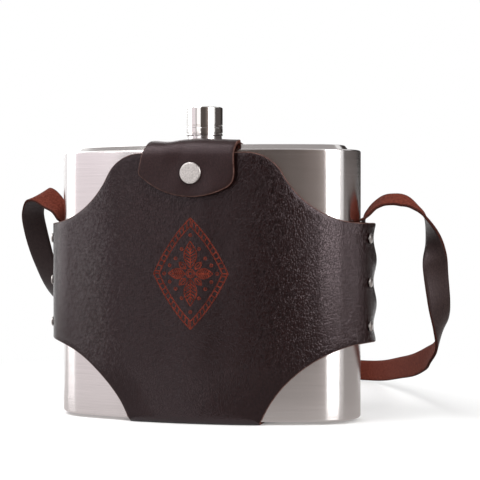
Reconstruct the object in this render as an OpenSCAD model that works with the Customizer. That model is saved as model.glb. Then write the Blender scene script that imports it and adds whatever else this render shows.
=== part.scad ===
// Kidney-shaped steel hip flask in a riveted leather holster with a shoulder strap.
// Millimetres. Z is up, the front faces -Y, and the neck stands on the Z axis.

/* [Steel flask] */
// Overall width of the steel body
flask_w = 200; // [180:1:220]
// Thickness of the steel body, front to back
flask_t = 57; // [52:0.5:62]
// Height of the steel body, base to rim
flask_h = 171.5; // [160:0.5:190]
// Radius of the bend, measured on the centreline
bend_r = 210; // [190:5:260]
// Thickness of the steel sheet
sheet_t = 0.8; // [0.6:0.1:1]
// Radius of the rolled top and bottom edges
edge_r = 2; // [1.5:0.1:2.5]
// Height of the raised panel above the rim
panel_rise = 3.3; // [2.5:0.1:4]
// Distance of the raised panel from the outside of the body
panel_inset = 9; // [7:0.5:11]

/* [Neck and cap] */
// Diameter of the cap
cap_d = 23.5; // [22:0.1:26]
// Height of the cap
cap_h = 18.4; // [16:0.1:22]
// Height of the neck's collar above the raised panel
collar_h = 6.5; // [6:0.1:8]
// Room between the cap's outside and the spout, for the cap's wall, its liner and the thread
spout_room = 3.25; // [3.1:0.05:3.5]
// Diameter of the spout, without its thread
spout_d = cap_d - 2 * spout_room; // [16:0.1:18]
// Diameter of the bore of the spout
bore_d = 14; // [12:0.1:14.4]
// Rise of the thread in one turn
thread_lead = 4; // [3.6:0.1:4.4]
// Height of the thread's ridge
thread_h = 1; // [0.8:0.05:1.1]
// Turns of thread on the spout
thread_turns = 2; // [1.5:0.25:2]

/* [Leather holster] */
// Thickness of the hide
leather_t = 2; // [1.6:0.1:2.2]
// Distance of the top edge of the front below the rim
front_drop = 2.2; // [1:0.1:6]
// Half width of the straight top edge
shoulder_x = 34; // [31:0.5:38]
// Radius of the shoulders
shoulder_r = 26; // [20:0.5:30]
// Height of the side wings' top edge
wing_top = 127; // [115:0.5:132]
// Height of the side wings' bottom edge
wing_low = 51; // [44:0.5:56]
// Half width of the leather where it passes under the base
tab_x = 43; // [36:0.5:50]
// Angle from the middle of the side forward to the rivets
rivet_forward = 28; // [24:0.5:30]

/* [Flap] */
// Width of the flap
flap_w = 63; // [58:0.5:66]
// Sideways place of the flap's middle, as it was sewn
flap_x = -3; // [-4:0.5:0]
// Length of the tongue below its fold
tongue_l = 29; // [26:0.5:32]
// Radius of the tongue's round end
tongue_r = 49; // [44:0.5:60]
// Outer radius of the fold over the front edge
fold_r = 7; // [6:0.5:8]

/* [Snap and rivets] */
// Diameter of the snap's cap
snap_d = 13.5; // [12:0.1:14]
// Room between the two leathers for the closed snap
snap_room = 2.8; // [2.6:0.1:3.2]
// Distance of the snap below the fold
snap_drop = 14; // [12:0.5:15]
// Diameter of the rivet caps
rivet_d = 6.4; // [5.6:0.1:7]
// Distance between rivets
rivet_pitch = 28; // [26:0.5:29]

/* [Strap] */
// Width of the strap
strap_w = 16; // [14:0.5:16]
// Thickness of the strap
strap_t = 1.8; // [1.4:0.1:1.8]

/* [Hidden] */
$fn = 96;
// Gap between leather and what it lies on
lay = 0.3;
// Gap of a fixed fit, such as a plate in the body
fit = 0.05;
// Gap of a loose fit, such as the cap's thread
loose = 0.35;
// Distance past a face for a clean cut
eps = 1;

// Plan of the body: a bent bar with round ends
half_t = flask_t / 2;
end_x = flask_w / 2 - half_t;
end_a = asin(end_x / bend_r);
end_y = bend_r * (1 - cos(end_a));
far = flask_w;

// Heights of the flask
base_z = leather_t;
rim_z = base_z + flask_h;
panel_z = rim_z + panel_rise;
edge_step = edge_r / 4;
panel_step = 1.1;

// Heights and radii of the neck and cap
cap_z = panel_z + collar_h + fit;
cap_top = cap_z + cap_h;
cap_wall = 0.7;
roof_t = 0.8;
liner_r = cap_d / 2 - cap_wall - fit;
liner_roof = 1.2;
liner_top = cap_top - roof_t - fit;
gasket_t = 1.5;
gasket_top = liner_top - liner_roof - fit;
spout_top = gasket_top - gasket_t - fit;
spout_r = spout_d / 2;
liner_bore = spout_r + thread_h + loose;
collar_r = cap_d / 2 - 0.55;
thread_w = thread_lead / 2;
thread_z = panel_z + collar_h + 2.4;
hole_r = 10;

// Leather: how far the wings stand out so that strap, rear wing and front wing lie in layers
rear_slack = 3.6;
front_slack = 6.3;
rear_reach = 12;
front_reach = 16;
front_z = rim_z - front_drop;
skin_in = lay;
skin_out = lay + leather_t;
wing_x = flask_w / 2 + 7;
front_y = -half_t - skin_out;

// Outline of the front: a shoulder arc that runs into the scoop above the wing
shoulder_z = front_z - shoulder_r;
shoulder_drop = wing_top - shoulder_z;
shoulder_run = wing_x - shoulder_x;
scoop_r = (shoulder_run ^ 2 + shoulder_drop ^ 2 - shoulder_r ^ 2) / (2 * (shoulder_r - shoulder_drop));
scoop_c = [wing_x, wing_top + scoop_r];
shoulder_c = [shoulder_x, shoulder_z];
turn_a = atan2(scoop_c.y - shoulder_c.y, scoop_c.x - shoulder_c.x);
low_x = wing_x + 9;
low_r = ((low_x - tab_x) ^ 2 + wing_low ^ 2) / (2 * wing_low);

// Flap: its fold lies along X in front of the rim
flap_z = panel_z + lay;
flap_top_z = flap_z + leather_t;
tongue_out = front_y - snap_room - leather_t;
tongue_in = front_y - snap_room;
fold_y = tongue_out + leather_t / 2;
fold_z = flap_top_z - fold_r;
fold_open = 120;
fold_gap = leather_t / 2 * tan(fold_open / 2) + fit;
flap_l = flap_x - flap_w / 2;
neck_slot = collar_r + 0.8;

// Snap: its middle and the depths of its pieces, out from the front leather
snap_x = 0.5;
snap_z = fold_z - snap_drop;
stud_r = 2.3;
stud_flange = 0.4;
stud_top = snap_room - 1;
post_r = 1.5;
socket_r = 5.8;
socket_bore = 3.1;
spring_wire = 0.25;
spring_r = socket_bore + 0.1;

// Side stack, out from the steel at the rivets
rivet_a = end_a - rivet_forward;
rivet_c = [end_x, end_y];
rivet_zs = [for (i = [-1:1]) (wing_top + wing_low) / 2 + i * rivet_pitch];
inner_head = 0.8;
inner_head_r = rivet_d / 2 + 0.5;
head_sag = inner_head_r ^ 2 / flask_t;
strap_in = lay + inner_head + head_sag;
strap_out = strap_in + strap_t;
wing_out = skin_out + front_slack * cos(rivet_forward);
rivet_h = 1.3;
tab_low = wing_low + 3;
tab_top = wing_top + 0.5;

// Route of the strap from its right end to its left end, and the way its front edge points
strap_path = [
    [102, 8.2, 127.5], [105, 9, 132], [109.5, 11, 137.5], [115, 12, 141], [121, 13, 142],
    [128, 14, 141], [135, 14, 137], [141.5, 14, 130.5], [147, 14, 115], [148, 14, 97],
    [150, 17, 76], [150.5, 24, 62.5], [148, 36, 51], [142, 56, 41], [135, 80, 34.5],
    [122, 120, 26], [106, 165, 19], [87, 210, 12], [65, 243, 8.5], [20, 262, 8.5],
    [-30, 258, 8.5], [-75, 228, 14], [-108, 184, 28], [-127, 136, 48], [-133, 88, 73],
    [-135, 62, 98], [-135, 41, 127], [-132, 33, 138], [-126, 25.5, 145], [-119, 19, 146],
    [-111, 14, 141.5], [-105, 10, 135], [-102, 8.2, 127.5]
];
strap_edge = [
    [-1, -7, 0], [2, -9, -1], [1, -9, -3], [0, -9, -4], [0, -9, -4],
    [0, -9, -4], [-0.6, -9.9, -1], [1, -9.9, 0.4], [7, -6.9, 1.5], [9.5, 2, 0.5],
    [8.5, 5.5, 2], [5, 7, 4.8], [1.6, 6, 8], [2.6, 2.6, 8.6], [1, 0.6, 9],
    [0, 0, 9], [0, 0, 9], [0, 0, 9], [0, 0, 9], [0, 0, 9],
    [0, 0, 9], [-1, 0, 9], [-4, 1, 8], [-7, 2, 6], [-9, 2, 2],
    [-9, 0, 0], [-7.5, -5, -1], [-7.5, -4.2, -2.6], [-7.5, -3.2, -4.4], [-6.8, -4.4, -5],
    [-5, -6.8, -5], [-1, -8, -3], [1, -7, 0]
];
strap_steps = 2;

// Colours
steel = [0.72, 0.71, 0.70];
nickel = [0.80, 0.79, 0.77];
hide = [0.24, 0.17, 0.17];
hide_flesh = [0.40, 0.17, 0.14];
liner_grey = [0.35, 0.35, 0.36];
silicone = [0.85, 0.85, 0.82];

// Plan helpers

// Points along an arc, from one angle to another
function arc(c, r, from, to, steps = 20) =
    [for (i = [0:steps]) let (a = from + (to - from) * i / steps) c + r * [cos(a), sin(a)]];

// Place of an end's centre when the leather stands out by a slack along the bend
function end_at(slack) =
    let (a = end_a + slack / bend_r * 180 / PI)
    [bend_r * sin(a), bend_r * (1 - cos(a))];

// Plan of the bent bar, grown by a distance and with its ends moved out by a slack
module plan(grow, slack = 0) {
    c = end_at(slack);
    a = end_a + slack / bend_r * 180 / PI;
    intersection() {
        translate([0, bend_r])
            difference() {
                circle(bend_r + half_t + grow, $fn = 360);
                circle(bend_r - half_t - grow, $fn = 360);
            }
        polygon([[0, bend_r], 2 * bend_r * [-sin(a), -cos(a)] + [0, bend_r],
            2 * bend_r * [sin(a), -cos(a)] + [0, bend_r]]);
    }
    for (s = [-1, 1])
        translate([s * c.x, c.y])
            circle(half_t + grow);
}

// Plan between two distances from the body's outside, raised from one height to another
module plan_wall(outer, inner, low, high) {
    translate([0, 0, low])
        linear_extrude(high - low)
            difference() {
                plan(outer);
                plan(inner);
            }
}

// Solid plan raised from one height to another
module plan_block(grow, low, high) {
    translate([0, 0, low])
        linear_extrude(high - low)
            plan(grow);
}

// Half profile of a box with its outer corners rounded at the bottom, the top or both
module half_box(t, low, high, r_low, r_high) {
    h = high - low;
    translate([0, low + r_low])
        square([t, h - r_low - r_high]);
    translate([0, low])
        square([t - r_low, 0.6 * h]);
    translate([0, low + 0.4 * h])
        square([t - r_high, 0.6 * h]);
    if (r_low > 0)
        translate([t - r_low, low + r_low])
            circle(r_low, $fn = 48);
    if (r_high > 0)
        translate([t - r_high, high - r_high])
            circle(r_high, $fn = 48);
}

// Prism along Y of an outline drawn in X and Z
module through_y(from, to) {
    translate([0, to, 0])
        rotate([90, 0, 0])
            linear_extrude(to - from)
                children();
}

// Solid of revolution about an axis that points out of the front, at the snap
module at_snap(depth) {
    translate([snap_x, front_y - depth, snap_z])
        rotate([90, 0, 0])
            children();
}

// Children at each rivet of one side, with Z pointing out of the side
module at_rivets(side) {
    for (z = rivet_zs)
        mirror([side < 0 ? 1 : 0, 0, 0])
            translate([rivet_c.x, rivet_c.y, z])
                rotate([0, 90, rivet_a])
                    translate([0, 0, half_t])
                        children();
}

// Steel flask

module body_shell() {
    color(steel)
        plan_wall(0, -sheet_t, base_z + sheet_t + fit, rim_z - sheet_t - fit);
}

module top_plate() {
    flange_z = rim_z - sheet_t;
    color(steel)
        difference() {
            union() {
                plan_block(-edge_step, flange_z, rim_z);
                plan_block(-panel_inset, flange_z, panel_z - panel_step);
                plan_block(-panel_inset - panel_step, flange_z, panel_z);
            }
            plan_block(-panel_inset - panel_step - sheet_t, flange_z - eps, panel_z - sheet_t);
            cylinder(r = hole_r, h = 2 * far);
        }
}

module base_plate() {
    color(steel)
        plan_block(-edge_step, base_z, base_z + sheet_t);
}

// Helical ridge with tapered ends: r is its foot, and out is +1 outward or -1 inward
module ridge(r, out, turns) {
    per_turn = 24;
    count = round(per_turn * turns);
    foot = 0.3;
    function section(grow) = [
        [r - out * foot, -thread_w / 2], [r + out * thread_h * grow, -thread_w / 5],
        [r + out * thread_h * grow, thread_w / 5], [r - out * foot, thread_w / 2]
    ];
    rings = [for (i = [0:count])
        let (a = 360 * i / per_turn, rise = thread_lead * i / per_turn)
        let (grow = min(1, (min(i, count - i) + 0.5) / 6))
        [for (p = section(grow)) [p.x * cos(a), p.x * sin(a), p.y + rise]]];
    tube(out > 0 ? rings : [for (ring = rings) [ring[3], ring[2], ring[1], ring[0]]]);
}

// Closed tube through rings of four points each
module tube(rings) {
    n = len(rings);
    points = [for (ring = rings) each ring];
    sides = [for (i = [0:n - 2], j = [0:3])
        let (k = (j + 1) % 4)
        each [[4 * i + k, 4 * i + 4 + k, 4 * i + 4 + j], [4 * i + k, 4 * i + 4 + j, 4 * i + j]]];
    last = 4 * (n - 1);
    ends = [[3, 2, 1], [3, 1, 0], [last, last + 1, last + 2], [last, last + 2, last + 3]];
    polyhedron(points, concat(sides, ends));
}

module neck() {
    under = panel_z - sheet_t;
    color(steel)
        difference() {
            union() {
                translate([0, 0, under - 1])
                    cylinder(r = hole_r + 2.5, h = 1);
                translate([0, 0, under - eps])
                    cylinder(r = hole_r - fit, h = sheet_t + 2 * eps);
                translate([0, 0, panel_z])
                    cylinder(r = collar_r, h = collar_h - 0.3);
                translate([0, 0, panel_z])
                    cylinder(r = spout_r, h = spout_top - panel_z);
                translate([0, 0, thread_z])
                    ridge(spout_r, 1, thread_turns);
            }
            translate([0, 0, under - 2 * eps])
                cylinder(d = bore_d, h = far);
        }
}

module cap_shell() {
    groove = 0.35;
    band = 0.5;
    color(nickel)
        difference() {
            translate([0, 0, cap_z])
                rotate_extrude()
                    half_box(cap_d / 2, 0, cap_h, 0.3, 0.8);
            translate([0, 0, cap_z - eps])
                cylinder(r = cap_d / 2 - cap_wall, h = cap_h - roof_t + eps);
            for (z = [0.33, 0.82])
                translate([0, 0, cap_z + z * cap_h])
                    rotate_extrude()
                        translate([cap_d / 2 - groove, 0])
                            square([2 * groove, band]);
        }
}

module cap_liner() {
    low = cap_z + 0.4;
    color(liner_grey) {
        difference() {
            translate([0, 0, low])
                cylinder(r = liner_r, h = liner_top - low);
            translate([0, 0, low - eps])
                cylinder(r = liner_bore, h = liner_top - liner_roof - low + eps);
        }
        translate([0, 0, thread_z + thread_lead / 2])
            ridge(liner_bore, -1, thread_turns - 0.5);
    }
}

module cap_gasket() {
    color(silicone)
        translate([0, 0, gasket_top - gasket_t])
            difference() {
                cylinder(r = liner_bore - loose, h = gasket_t);
                translate([0, 0, -eps])
                    cylinder(d = bore_d - 4, h = gasket_t + 2 * eps);
            }
}

// Leather holster

// Outline of the front, up the right side and down the mirrored left side
function half_outline() = concat(
    arc([low_x, wing_low - low_r], low_r, 180 - acos((low_x - tab_x) / low_r), 90),
    arc(scoop_c, scoop_r, 270 + asin((low_x - wing_x) / scoop_r), 180 + turn_a),
    arc(shoulder_c, shoulder_r, turn_a, 90));

module outline() {
    right = half_outline();
    left = [for (i = [len(right) - 1:-1:0]) [-right[i].x, right[i].y]];
    polygon(concat(right, left));
}

// The part of the plan in front of the rays at the wings' edges, or behind them
module side_of(slack, a, front) {
    c = end_at(slack);
    tip = c + far * [cos(a), sin(a)];
    out = front ? -far : far;
    polygon([c, tip, [tip.x, out], [-tip.x, out], [-tip.x, tip.y], [-c.x, c.y]]);
}

// Plan of the front or the back with its pair of wings, cut to their reach
module skin_plan(slack, a, front) {
    intersection() {
        difference() {
            plan(skin_out, slack);
            plan(skin_in, slack);
        }
        side_of(slack, a, front);
    }
}

module holster_wrap() {
    color(hide)
        difference() {
            intersection() {
                union() {
                    linear_extrude(far)
                        skin_plan(front_slack, rivet_a + front_reach, true);
                    linear_extrude(far)
                        skin_plan(rear_slack, rivet_a - rear_reach, false);
                    plan_block(skin_in + leather_t / 2, 0, leather_t);
                }
                through_y(-far, far) outline();
            }
            for (side = [-1, 1])
                at_rivets(side)
                    cylinder(r = post_r + fit, h = far / 8);
            at_snap(-leather_t * 2)
                cylinder(r = post_r + fit, h = far / 8);
        }
}

// Section of the flap over the top, in Y and Z: flat, then round the fold in front
module flap_section() {
    fold_c = tongue_out + fold_r;
    difference() {
        union() {
            translate([fold_c, fold_z])
                circle(fold_r);
            translate([fold_c, fold_z])
                square([2 * flask_t, fold_r]);
        }
        translate([fold_c, fold_z])
            circle(fold_r - leather_t);
        translate([fold_c, fold_z - fold_r])
            square([3 * flask_t, 2 * fold_r - leather_t]);
        translate([fold_c - 2 * fold_r, fold_z - 2 * fold_r])
            square([4 * fold_r, 2 * fold_r + fold_gap]);
    }
}

module flap_top() {
    color(hide)
        difference() {
            union() {
                difference() {
                    translate([flap_l, 0, 0])
                        rotate([90, 0, 90])
                            linear_extrude(flap_w)
                                flap_section();
                    translate([0, bend_r, 0])
                        cylinder(r = bend_r - half_t - skin_in - leather_t / 2, h = 2 * far, $fn = 360);
                }
                translate([0, 0, front_z + fit])
                    linear_extrude(flap_z + leather_t / 2 - front_z)
                        intersection() {
                            difference() {
                                plan(skin_out);
                                plan(skin_in);
                            }
                            translate([flap_l, 0])
                                square([flap_w, far]);
                        }
            }
            cylinder(r = neck_slot, h = far * 2);
        }
}

module flap_tongue() {
    tip_z = fold_z - tongue_l;
    color(hide)
        difference() {
            union() {
                through_y(tongue_out, tongue_in)
                    intersection() {
                        translate([flap_l, tip_z])
                            square([flap_w, tongue_l]);
                        translate([flap_x + 3.5, tip_z + tongue_r])
                            circle(tongue_r);
                    }
                translate([flap_l, fold_y, fold_z])
                    rotate([0, 90, 0])
                        cylinder(d = leather_t, h = flap_w);
            }
            at_snap(0)
                cylinder(r = post_r + fit, h = far / 8);
        }
}

// Snap fastener

module snap_cap() {
    cap_t = 1.5;
    post_l = leather_t + stud_flange + 0.45;
    color(nickel)
        at_snap(snap_room + leather_t + fit) {
            rotate_extrude()
                half_box(snap_d / 2, 0, cap_t, 0.1, 0.7);
            translate([0, 0, -post_l])
                cylinder(r = post_r, h = post_l + cap_t / 2);
            translate([0, 0, -post_l])
                cylinder(r = post_r + 0.9, h = 0.25);
        }
}

module snap_socket() {
    color(nickel)
        at_snap(snap_room - fit)
            rotate([180, 0, 0])
                difference() {
                    rotate_extrude()
                        half_box(socket_r, 0, snap_room - stud_flange - 0.2, 0.1, 0.6);
                    translate([0, 0, stud_flange])
                        cylinder(r = socket_bore, h = far);
                    translate([0, 0, 0.9])
                        cylinder(r = spring_r + spring_wire + fit, h = 0.7);
                    translate([0, 0, -eps])
                        cylinder(r = post_r + fit, h = far);
                }
}

module snap_spring() {
    color(steel)
        at_snap(snap_room - fit)
            rotate([180, 0, 0])
                translate([0, 0, 1.25])
                    rotate_extrude()
                        translate([spring_r, 0])
                            circle(spring_wire, $fn = 24);
}

module snap_stud() {
    color(nickel)
        at_snap(0)
            difference() {
                union() {
                    cylinder(r = 5, h = stud_flange);
                    cylinder(r = stud_r - 0.3, h = stud_top - 0.5);
                    translate([0, 0, 0.9])
                        rotate_extrude()
                            half_box(stud_r, 0, stud_top - 0.9, 0.2, 0.3);
                }
                translate([0, 0, -eps])
                    cylinder(r = post_r + fit, h = eps + stud_top - 0.5);
            }
}

module snap_post() {
    flange = 0.2;
    color(nickel)
        at_snap(-skin_out + lay - flange - fit) {
            translate([0, 0, -lay + flange + 2 * fit])
                cylinder(r = 4, h = flange);
            translate([0, 0, -lay + flange + 2 * fit])
                cylinder(r = post_r, h = leather_t + lay + 0.8);
        }
}

// Rivets

module rivet_caps(side) {
    color(nickel)
        at_rivets(side)
            translate([0, 0, wing_out + fit])
                difference() {
                    rotate_extrude()
                        half_box(rivet_d / 2, 0, rivet_h, 0.1, 0.6);
                    translate([0, 0, -eps])
                        cylinder(r = post_r + fit, h = eps + rivet_h / 2);
                }
}

module rivet_posts(side) {
    color(nickel)
        at_rivets(side) {
            translate([0, 0, lay])
                cylinder(r = inner_head_r, h = inner_head - fit);
            translate([0, 0, lay])
                cylinder(r = post_r, h = wing_out + rivet_h / 2 - lay);
        }
}

module right_rivet_caps() {
    rivet_caps(1);
}

module right_rivet_posts() {
    rivet_posts(1);
}

module left_rivet_caps() {
    rivet_caps(-1);
}

module left_rivet_posts() {
    rivet_posts(-1);
}

// Strap

// Riveted end of the strap under the wings of one side
module strap_end(side) {
    color(hide_flesh)
        difference() {
            mirror([side < 0 ? 1 : 0, 0, 0])
                translate([rivet_c.x, rivet_c.y, tab_low])
                    rotate([0, 0, rivet_a])
                        intersection() {
                            difference() {
                                cylinder(r = half_t + strap_out, h = tab_top - tab_low);
                                translate([0, 0, -eps])
                                    cylinder(r = half_t + strap_in, h = far);
                            }
                            translate([0, -strap_w / 2, 0])
                                cube([far, strap_w, far]);
                        }
            at_rivets(side)
                cylinder(r = post_r + fit, h = far / 8);
        }
}

module strap_end_right() {
    strap_end(1);
}

module strap_end_left() {
    strap_end(-1);
}

function unit(v) = v / norm(v);

// Smooth curve through a list of points, between point i and the next
function curve(list, i, t) =
    let (n = len(list) - 1)
    let (a = list[max(i - 1, 0)], b = list[i], c = list[min(i + 1, n)], d = list[min(i + 2, n)])
    (2 * b + (c - a) * t + (2 * a - 5 * b + 4 * c - d) * t ^ 2
        + (3 * b - a - 3 * c + d) * t ^ 3) / 2;

// Rectangular ring of the strap at one place of its route
function strap_ring(i, t) =
    let (p = curve(strap_path, i, t))
    let (ahead = unit(curve(strap_path, i, t + 0.05) - curve(strap_path, i, t - 0.05)))
    let (aim = curve(strap_edge, i, t))
    let (edge = unit(aim - (aim * ahead) * ahead) * strap_w / 2)
    let (face = unit(cross(edge, ahead)) * strap_t / 2)
    [p + edge + face, p - edge + face, p - edge - face, p + edge - face];

module strap() {
    last = len(strap_path) - 1;
    rings = concat(
        [for (i = [0:last - 1], k = [0:strap_steps - 1]) strap_ring(i, k / strap_steps)],
        [strap_ring(last - 1, 1)]);
    color(hide_flesh)
        tube(rings);
}

body_shell();
top_plate();
base_plate();
neck();
cap_shell();
cap_liner();
cap_gasket();
holster_wrap();
flap_top();
flap_tongue();
snap_cap();
snap_socket();
snap_spring();
snap_stud();
snap_post();
right_rivet_caps();
right_rivet_posts();
left_rivet_caps();
left_rivet_posts();
strap_end_right();
strap_end_left();
strap();
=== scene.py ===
"""Looks of a kidney-shaped steel hip flask in a riveted leather holster with a shoulder strap."""

import math

import bpy
import numpy as np
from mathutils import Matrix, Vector, noise
from mathutils.geometry import delaunay_2d_cdt


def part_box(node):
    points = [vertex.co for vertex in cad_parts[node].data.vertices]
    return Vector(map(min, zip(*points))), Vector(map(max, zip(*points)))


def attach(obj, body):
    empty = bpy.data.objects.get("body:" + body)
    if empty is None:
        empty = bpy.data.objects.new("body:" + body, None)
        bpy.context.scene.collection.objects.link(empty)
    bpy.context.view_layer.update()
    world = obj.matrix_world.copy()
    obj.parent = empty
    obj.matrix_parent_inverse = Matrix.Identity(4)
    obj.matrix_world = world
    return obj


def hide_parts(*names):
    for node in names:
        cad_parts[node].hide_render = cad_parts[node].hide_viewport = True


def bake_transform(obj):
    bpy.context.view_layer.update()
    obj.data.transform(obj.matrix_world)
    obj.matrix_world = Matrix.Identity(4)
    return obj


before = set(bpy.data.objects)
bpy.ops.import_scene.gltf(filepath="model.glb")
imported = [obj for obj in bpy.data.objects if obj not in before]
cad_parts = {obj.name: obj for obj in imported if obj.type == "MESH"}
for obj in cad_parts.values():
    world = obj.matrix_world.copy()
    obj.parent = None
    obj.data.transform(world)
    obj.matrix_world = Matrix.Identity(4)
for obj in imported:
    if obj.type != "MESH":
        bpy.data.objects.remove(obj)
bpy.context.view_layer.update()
FLASK = "holstered_flask"

# Sizes in metres, read from the frame where a node has them
MM = 0.001
body_low, body_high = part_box("body_shell")
HALF_T = -body_low.y
END_X = body_high.x - HALF_T
END_Y = body_high.y - HALF_T
BEND_R = (END_X**2 + END_Y**2) / (2 * END_Y)
END_A = math.asin(END_X / BEND_R)
FRONT_R = BEND_R + HALF_T
BACK_R = BEND_R - HALF_T
BASE_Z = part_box("base_plate")[0].z
SHEET_T = 0.8 * MM
RIM_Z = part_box("top_plate")[0].z + SHEET_T
PANEL_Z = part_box("top_plate")[1].z
EDGE_R = 1.3 * MM
LIP_IN = EDGE_R + 2.2 * MM
PLATE_IN = EDGE_R + 2.1 * MM
PANEL_INSET = 9 * MM
NECK_HOLE_R = 10 * MM

# Holster: the same layers as its solid
HIDE_T = 2 * MM
LAY = 0.3 * MM
SKIN_OUT = LAY + HIDE_T
FRONT_SLACK = 6.3 * MM
BACK_SLACK = 3.6 * MM
FRONT_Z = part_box("holster_wrap")[1].z
SHOULDER_X = 34 * MM
SHOULDER_R = 26 * MM
WING_TOP = 127 * MM
WING_LOW = 51 * MM
WING_CORNER_R = 2.5 * MM
TAB_X = 43 * MM
WING_X = 107 * MM
LOW_X = 116 * MM
RIVET_BACK = math.radians(28)
RIVET_A = END_A - RIVET_BACK
FRONT_REACH = RIVET_A + math.radians(16)
BACK_REACH = RIVET_A - math.radians(12)
RIVET_ZS = [61 * MM, 89 * MM, 117 * MM]
RIVET_PITCH = RIVET_ZS[1] - RIVET_ZS[0]

# Flat heights at which the hide turns under the base and up the back
BOTTOM_R = 3.2 * MM
SLING = 2 * (HALF_T + SKIN_OUT) - 2 * BOTTOM_R
QUARTER = BOTTOM_R * math.pi / 2
T_FRONT = BOTTOM_R
T_UNDER = T_FRONT - QUARTER
T_REAR = T_UNDER - SLING
T_BACK = T_REAR - QUARTER

# Ways along front and back up to which the sling's straight edges run across
FRONT_PART = 60 * MM
BACK_PART = BACK_R * math.asin(FRONT_R * math.sin(FRONT_PART / FRONT_R) / BACK_R)

# Flap
FLAP_LEFT, FLAP_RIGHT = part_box("flap_top")[0].x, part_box("flap_top")[1].x
FLAP_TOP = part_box("flap_top")[1].z
TONGUE_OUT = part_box("flap_tongue")[0].y
TONGUE_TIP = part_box("flap_tongue")[0].z
TONGUE_END_R = 49 * MM
FLAP_TAPER = 4 * MM
FOLD_R = 10 * MM
FOLD_ARC = FOLD_R * math.pi / 2
FOLD_Z = FLAP_TOP - FOLD_R
REAR_R = 5 * MM
REAR_ARC = REAR_R * math.pi / 2
FLAT_FRONT = TONGUE_OUT + FOLD_R
FLAT_BACK = HALF_T + SKIN_OUT - REAR_R
NECK_SLOT = 12 * MM
SNAP_X = 0.5 * MM
SNAP_Z = (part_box("snap_cap")[0].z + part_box("snap_cap")[1].z) / 2

# Strap: the route of its solid, and the way its front edge points
STRAP_W = 16 * MM
STRAP_T = 1.8 * MM
STRAP_PATH = [
    (102, 8.2, 127.5), (105, 9, 132), (109.5, 11, 137.5), (115, 12, 141), (121, 13, 142),
    (128, 14, 141), (135, 14, 137), (141.5, 14, 130.5), (147, 14, 115), (148, 14, 97),
    (150, 17, 76), (150.5, 24, 62.5), (148, 36, 51), (142, 56, 41), (135, 80, 34.5),
    (122, 120, 26), (106, 165, 19), (87, 210, 12), (65, 243, 8.5), (20, 262, 8.5),
    (-30, 258, 8.5), (-75, 228, 14), (-108, 184, 28), (-127, 136, 48), (-133, 88, 73),
    (-135, 62, 98), (-135, 41, 127), (-132, 33, 138), (-126, 25.5, 145), (-119, 19, 146),
    (-111, 14, 141.5), (-105, 10, 135), (-102, 8.2, 127.5),
]
STRAP_EDGE = [
    (-1, -7, 0), (2, -9, -1), (1, -9, -3), (0, -9, -4), (0, -9, -4),
    (0, -9, -4), (-0.6, -9.9, -1), (1, -9.9, 0.4), (7, -6.9, 1.5), (9.5, 2, 0.5),
    (8.5, 5.5, 2), (5, 7, 4.8), (1.6, 6, 8), (2.6, 2.6, 8.6), (1, 0.6, 9),
    (0, 0, 9), (0, 0, 9), (0, 0, 9), (0, 0, 9), (0, 0, 9),
    (0, 0, 9), (-1, 0, 9), (-4, 1, 8), (-7, 2, 6), (-9, 2, 2),
    (-9, 0, 0), (-7.5, -5, -1), (-7.5, -4.2, -2.6), (-7.5, -3.2, -4.4), (-6.8, -4.4, -5),
    (-5, -6.8, -5), (-1, -8, -3), (1, -7, 0),
]


# Material helpers

def feed(node, inputs):
    """Links a node's inputs to outputs of other nodes, or sets them to values."""
    for name, value in inputs.items():
        if isinstance(value, bpy.types.NodeSocket):
            node.id_data.links.new(value, node.inputs[name])
        else:
            node.inputs[name].default_value = value


def add_node(tree, kind, inputs):
    """A new node with its inputs fed."""
    node = tree.nodes.new("ShaderNode" + kind)
    feed(node, inputs)
    return node


def material(name, base, rough, metal=0.0):
    """A new material, with its node tree and main shader."""
    mat = bpy.data.materials.new(name)
    mat.use_nodes = True
    tree = mat.node_tree
    shader = tree.nodes["Principled BSDF"]
    feed(shader, {"Base Color": (*base, 1), "Roughness": rough, "Metallic": metal})
    return mat, tree, shader


def coordinates(tree, scale=(1, 1, 1), lean=0.0):
    """Object coordinates, leant about Y and then stretched along each axis."""
    where = add_node(tree, "TexCoord", {}).outputs["Object"]
    shrink = [1 / s for s in scale]
    stretch = add_node(tree, "Mapping", {"Vector": where, "Rotation": (0, lean, 0), "Scale": shrink})
    stretch.vector_type = "TEXTURE"
    return stretch.outputs["Vector"]


def noise_texture(tree, vector, scale, detail=4.0, rough=0.6):
    inputs = {"Vector": vector, "Scale": scale, "Detail": detail, "Roughness": rough}
    return add_node(tree, "TexNoise", inputs).outputs["Fac"]


def ramp(tree, value, low, high):
    """Colour between two stops, each a place and its colour."""
    node = add_node(tree, "ValToRGB", {"Fac": value})
    for element, (place, colour) in zip(node.color_ramp.elements, (low, high)):
        element.position = place
        element.color = (*colour, 1)
    return node.outputs["Color"]


def span(tree, value, low, high):
    """A value from 0 to 1 spread from low to high."""
    return add_node(tree, "MapRange", {"Value": value, "To Min": low, "To Max": high}).outputs["Result"]


def smooth_span(tree, value, low, high, start=0.0):
    """A value eased from start at low to 1 at high."""
    node = add_node(tree, "MapRange", {"Value": value, "From Min": low, "From Max": high, "To Min": start})
    node.interpolation_type = "SMOOTHSTEP"
    return node.outputs["Result"]


def calculated(tree, operation, first, second):
    """A sum, product or other result of two values."""
    node = add_node(tree, "Math", {0: first, 1: second})
    node.operation = operation
    return node.outputs["Value"]


def bump(tree, shader, height, distance, strength, below=None):
    """Gives the shader a bump, over the bump below it if there is one."""
    inputs = {"Height": height, "Distance": distance, "Strength": strength}
    if below is not None:
        inputs["Normal"] = below
    normal = add_node(tree, "Bump", inputs).outputs["Normal"]
    feed(shader, {"Normal": normal})
    return normal


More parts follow.
